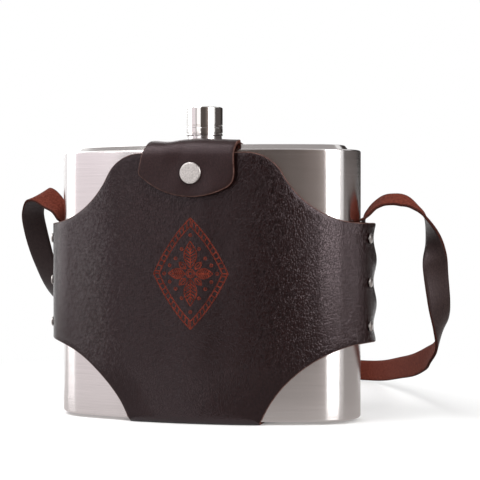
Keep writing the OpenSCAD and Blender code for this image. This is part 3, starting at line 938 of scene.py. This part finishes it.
def curve_through(points, steps):
    """Smooth curve through points, with a number of steps between each two."""
    p = np.vstack([points[:1], points, points[-1:]])
    out = []
    for a, b, c, d in zip(p, p[1:], p[2:], p[3:]):
        for t in np.arange(steps) / steps:
            out.append((2 * b + (c - a) * t + (2 * a - 5 * b + 4 * c - d) * t**2
                        + (3 * b - a - 3 * c + d) * t**3) / 2)
    return np.vstack([out, points[-1:]])


def strap_section():
    """Shares of half the width and thickness round the section, and the material of each side."""
    soft = 0.45
    flesh = [(w, 1.0) for w in np.linspace(-0.95, 0.95, 9)]
    edge = [(0.99, soft), (1.0, 0.0), (0.99, -soft)]
    half = np.array(flesh + edge)
    kinds = [FLESH_SIDE] * 8 + [CUT] * 4 + [GRAIN] * 8 + [CUT] * 4
    return np.vstack([half, -half]), kinds


def swept_strap(build, line, edges):
    """Sweeps the strap's section along a line whose front edge points the given ways."""
    section, kinds = strap_section()
    ahead = np.gradient(line, axis=0)
    ahead /= np.linalg.norm(ahead, axis=1)[:, None]
    edges = edges - np.sum(edges * ahead, axis=1)[:, None] * ahead
    edges /= np.linalg.norm(edges, axis=1)[:, None]
    faces = np.cross(edges, ahead)
    rings = []
    for p, e, f in zip(line, edges, faces):
        rings.append(build.ring([p + w * STRAP_W / 2 * e + h * STRAP_T / 2 * f for w, h in section]))
    count = len(section)
    for low, high in zip(rings, rings[1:]):
        for i in range(count):
            k = (i + 1) % count
            build.face((low[i], high[i], high[k], low[k]), kinds[i])
    build.face(rings[0], FLESH_SIDE)
    build.face(rings[-1][::-1], FLESH_SIDE)


def strap():
    """The free length of the strap."""
    line = curve_through(np.array(STRAP_PATH, float) * MM, 8)
    edges = curve_through(np.array(STRAP_EDGE, float), 8)
    build = Build()
    swept_strap(build, line, edges)
    obj = build.piece("shoulder_strap", STRAP_LOOKS, "strap_hide", ["strap"], 60)


def strap_end(side, name, node):
    """Riveted end of the strap, curved round the body under the wings."""
    low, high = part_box(node)
    outside = high.x if side > 0 else -low.x
    middle = outside - END_X - STRAP_T / 2
    line = np.array([
        (side * (END_X + middle * math.cos(RIVET_A)), END_Y + middle * math.sin(RIVET_A), z)
        for z in np.linspace(low.z, high.z, 25)])
    forward = np.tile((side * math.sin(RIVET_A), -math.cos(RIVET_A), 0), (len(line), 1))
    build = Build()
    swept_strap(build, line[::side], forward)
    bent = []
    for x, y, z in build.points:
        out = (side * x - END_X) * math.cos(RIVET_A) + (y - END_Y) * math.sin(RIVET_A)
        along = -(side * x - END_X) * math.sin(RIVET_A) + (y - END_Y) * math.cos(RIVET_A)
        a = RIVET_A + along / middle
        bent.append((side * (END_X + out * math.cos(a)), END_Y + out * math.sin(a), z))
    build.points = bent
    build.piece(name, STRAP_LOOKS, "strap_hide", [node], 60)


# Tooled ornament on the front

def lozenge(half_w, half_h):
    """Closed line with four sides that bow out a little."""
    bow = 0.10
    corners = np.array([(half_w, 0), (0, half_h), (-half_w, 0), (0, -half_h), (half_w, 0)])
    t = np.linspace(0, 1, 24)[:, None]
    sides = [a + (b - a) * t + bow * (a + b) * (4 * t * (1 - t)) * 0.5 for a, b in zip(corners, corners[1:])]
    return np.vstack(sides)


def leaf(angle, start, length, width):
    """Lines of a leaf that points outwards: two edges, a midrib and pairs of veins."""
    t = np.linspace(0, 1, 22)
    turn = np.array([(math.cos(angle), math.sin(angle)), (-math.sin(angle), math.cos(angle))])
    shapes = []
    for side in (-1, 1):
        bulge = side * width * np.sin(math.pi * t) * (1 - 0.25 * t)
        shapes.append(np.stack([start + length * t, bulge], axis=1) @ turn)
    shapes.append(np.stack([start + length * t * 0.85, 0 * t], axis=1) @ turn)
    rise = 0.14
    for k in np.linspace(0.18, 0.66, 5):
        reach = width * math.sin(math.pi * (k + rise)) * 0.8
        for side in (-1, 1):
            vein = np.array([(start + length * k, 0), (start + length * (k + rise), side * reach)])
            shapes.append((vein[0] + (vein[1] - vein[0]) * np.linspace(0, 1, 6)[:, None]) @ turn)
    return shapes


def ornament_lines():
    """Lines of a lozenge frame with a four-leaf sprig, each with whether it is closed."""
    middle = np.array([-1 * MM, 95 * MM])
    outer, inner = lozenge(24 * MM, 35 * MM), lozenge(20.5 * MM, 30 * MM)
    loops = [outer, inner]
    lines = [a + (b - a) * np.linspace(0.12, 0.88, 6)[:, None] for a, b in zip(outer[::2], inner[::2])]
    for angle, length, width in ((0, 11, 3.6), (90, 17, 4.6), (180, 11, 3.6), (270, 17, 4.6)):
        lines += leaf(math.radians(angle), 3.4 * MM, length * MM, width * MM)
    for angle in (45, 135, 225, 315):
        lines += leaf(math.radians(angle), 4.2 * MM, 6 * MM, 1.9 * MM)[:3]
    loops += [circle((0, 0), radius * MM, 28) for radius in (2.6, 1.4)]
    for x, y in ((9.6, 9.6), (13.5, 5.2), (5.6, 15.5), (0, 24.2), (17.2, 0)):
        for across, up in sorted({(x, y), (-x, y), (x, -y), (-x, -y)}):
            loops.append(circle((across * MM, up * MM), 0.8 * MM, 16))
    return [(middle + line, True) for line in loops] + [(middle + line, False) for line in lines]


def ornament():
    """Burnt lines pressed into the front: a shallow channel between two low ridges."""
    half_w = 0.36
    sunk = 0.05 * MM
    section = [(-half_w, 0.0), (-0.24, 0.09), (-0.1, 0.02), (0.1, 0.02), (0.24, 0.09), (half_w, 0.0)]
    kinds = [0, 0, 1, 0, 0]
    build = Build()
    for line, closed in ornament_lines():
        ahead = np.gradient(line, axis=0)
        if closed:
            ahead = np.roll(line, -1, axis=0) - np.roll(line, 1, axis=0)
        ahead /= np.maximum(np.linalg.norm(ahead, axis=1), 1e-9)[:, None]
        left = np.stack([-ahead[:, 1], ahead[:, 0]], axis=1)
        rows = [build.ring(holster_place(line + w * MM * left, -h * MM)) for w, h in section]
        for low, high, kind in zip(rows, rows[1:], kinds):
            build.bridge(high, low, kind, closed)
        base = [build.ring(holster_place(line + w * MM * left, sunk)) for w in (-half_w, half_w)]
        build.bridge(rows[0], base[0], 0, closed)
        build.bridge(base[1], rows[-1], 0, closed)
        build.bridge(base[0], base[1], 0, closed)
        if not closed:
            outline = rows + [base[1], base[0]]
            build.face([row[0] for row in outline[::-1]])
            build.face([row[-1] for row in outline])
    build.piece("front_ornament", [BURNT, CHARRED], "hide", (), 60)


# Assembly

steel_body()
steel_top()
steel_base()
cap()
holster()
flap()
strap()
strap_end(1, "strap_end_riveted_right", "strap_end_right")
strap_end(-1, "strap_end_riveted_left", "strap_end_left")
snap_button()
rivet_heads(1, "rivet_heads_right", "right_rivet_caps")
rivet_heads(-1, "rivet_heads_left", "left_rivet_caps")
ornament()

for node, look in {
    "neck": STEEL, "cap_liner": LINER, "cap_gasket": GASKET, "snap_socket": NICKEL, "snap_spring": STEEL,
    "snap_stud": NICKEL, "snap_post": NICKEL, "right_rivet_posts": NICKEL, "left_rivet_posts": NICKEL,
}.items():
    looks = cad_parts[node].data.materials
    looks.clear()
    looks.append(look)


# Stage

def shown_rays(tree):
    """1 for the rays that show the background: to the camera, in a gloss and through glass."""
    rays = add_node(tree, "LightPath", {})
    value = rays.outputs["Is Camera Ray"]
    for kind in ("Is Glossy Ray", "Is Transmission Ray"):
        value = calculated(tree, "MAXIMUM", value, rays.outputs[kind])
    return value


def studio_world():
    """White behind the object and in its gloss, and a plain level of light from all round."""
    world = bpy.data.worlds.new("studio")
    bpy.context.scene.world = world
    world.use_nodes = True
    tree = world.node_tree
    strength = span(tree, shown_rays(tree), 0.45, 1.0)
    feed(tree.nodes["Background"], {"Color": (1, 1, 1, 1), "Strength": strength})


def paper_floor():
    """Pale paper that shows the shadow near the object and turns to plain white further away."""
    pale = (0.43, 0.40, 0.385)
    mat, tree, shader = material("pale_floor", pale, 0.9)
    shown = shown_rays(tree)
    paper = add_node(tree, "Mix", {})
    paper.data_type = "RGBA"
    feed(paper, {"A": (*pale, 1), "B": (0.95, 0.95, 0.95, 1), "Factor": shown})
    feed(shader, {"Base Color": paper.outputs["Result"], "Specular IOR Level": 0.1})
    where = add_node(tree, "TexCoord", {}).outputs["Object"]
    away = add_node(tree, "VectorMath", {0: where})
    away.operation = "LENGTH"
    fade = smooth_span(tree, away.outputs["Value"], 0.11, 0.42, 0.1)
    white = add_node(tree, "Emission", {}).outputs["Emission"]
    share = calculated(tree, "MULTIPLY", shown, fade)
    mix = add_node(tree, "MixShader", {"Fac": share, 1: shader.outputs["BSDF"], 2: white})
    feed(tree.nodes["Material Output"], {"Surface": mix.outputs["Shader"]})
    return mat


def floor():
    reach = 6.0
    corners = [(-reach, -reach, 0), (reach, -reach, 0), (reach, reach, 0), (-reach, reach, 0)]
    build = Build()
    build.face(build.ring(corners))
    build.made("floor", [paper_floor()])


def around(azimuth, distance, height):
    """A place round the object: azimuth 0 is in front, and 90 to the right."""
    a = math.radians(azimuth)
    return (distance * math.sin(a), -distance * math.cos(a), height)


def emitter(name, colour, strength):
    mat = bpy.data.materials.new(name)
    mat.use_nodes = True
    tree = mat.node_tree
    tree.nodes.clear()
    glow = add_node(tree, "Emission", {"Color": (*colour, 1), "Strength": strength})
    add_node(tree, "OutputMaterial", {"Surface": glow.outputs["Emission"]})
    return mat


def reflection_card(name, build, colour, strength=1.0):
    """A studio card that shows only in reflections."""
    obj = build.made(name, [emitter(name, colour, strength)])
    obj.visible_camera = False
    obj.visible_diffuse = False
    obj.visible_shadow = False
    obj.visible_transmission = False


def curved_card(name, start, end, colour, strength=1.0, near=(2.0, 0.0), far=(2.0, 1.6)):
    """A card curved round the object between two azimuths, and two edges (distance, height)."""
    build = Build()
    rows = [build.ring([around(a, *edge) for a in np.linspace(start, end, 25)]) for edge in (near, far)]
    build.bridge(rows[0], rows[1], closed=False)
    reflection_card(name, build, colour, strength)


def cards():
    """Greys that the steel and the waxed hide reflect, round the object, on the floor and above."""
    on_floor = 0.001
    floor_dark = (0.12, 0.10, 0.088)
    floor_grey = (0.46, 0.43, 0.415)
    floor_pale = (0.64, 0.595, 0.59)
    curved_card("left_white_card", -76, -44, (1.0, 0.915, 0.955), 0.98)
    curved_card("left_card", -44, -36, (0.50, 0.47, 0.475))
    curved_card("front_white_card", -36, -12, (1.0, 0.96, 0.97), 1.35)
    greys = ((-10, 18, 0.10), (18, 25, 0.13), (25, 30, 0.19), (30, 34, 0.27), (34, 38, 0.42))
    for start, end, grey in greys:
        colour = (grey, 0.82 * grey, 0.74 * grey)
        curved_card(f"front_card_{end}", start, end, colour, far=(2.0, 2.6))
    for name, start, end, colour, near, far in (
        ("floor_card", -12, 60, floor_dark, 0.36, 2.0),
        ("floor_far_card", 60, 138, floor_grey, 0.36, 2.0),
        ("floor_left_card", -120, -36, floor_pale, 0.05, 2.0),
        ("floor_right_card", -4, 150, floor_grey, 0.05, 0.36),
    ):
        curved_card(name, start, end, colour, near=(near, on_floor), far=(far, on_floor))
    curved_card("right_card", 85, 138, (0.10, 0.087, 0.083))
    curved_card("rear_card", 138, 200, (0.04, 0.034, 0.032))
    ceiling = Build()
    ceiling.face(ceiling.ring([around(a, 1.5, 1.9) for a in range(0, 360, 10)]))
    reflection_card("ceiling_card", ceiling, (0.42, 0.40, 0.395))


def softbox(name, place, width, height, power, colour=(1, 1, 1)):
    """A rectangular light that faces the object's middle."""
    centre = Vector((0, 0, 0.1))
    data = bpy.data.lights.new(name, "AREA")
    data.shape = "RECTANGLE"
    data.size, data.size_y = width, height
    data.energy = power
    data.color = colour
    obj = new_object(name, data)
    obj.location = place
    obj.rotation_euler = (centre - Vector(place)).to_track_quat("-Z", "Y").to_euler()


def photo_camera():
    """Camera right of the front and a little above the middle, slightly panned and tilted."""
    azimuth = 15.2
    pan = math.radians(1.44)
    tilt = math.radians(0.61)
    lens = bpy.data.cameras.new("camera")
    lens.lens = 105.5
    lens.sensor_width = 36
    camera = new_object("camera", lens)
    camera.location = around(azimuth, 0.9145, 0.1256)
    camera.rotation_euler = (math.pi / 2 - tilt, 0, math.radians(azimuth) - pan)
    bpy.context.scene.camera = camera


studio_world()
floor()
cards()
softbox("right_softbox", around(57, 1.3, 0.5), 0.74, 1.2, 17, (1, 0.99, 0.98))
softbox("left_softbox", around(-92, 1.3, 0.5), 0.75, 1.2, 6.5, (1, 0.985, 0.99))
softbox("top_softbox", around(-46, 0.75, 1.2), 0.6, 0.9, 10)
softbox("strip_softbox", around(-17, 1.0, 0.75), 0.26, 0.6, 1.5)
softbox("rear_softbox", around(-148, 1.4, 0.8), 0.8, 1.0, 6.5)
photo_camera()
bpy.context.scene.view_settings.view_transform = "Standard"
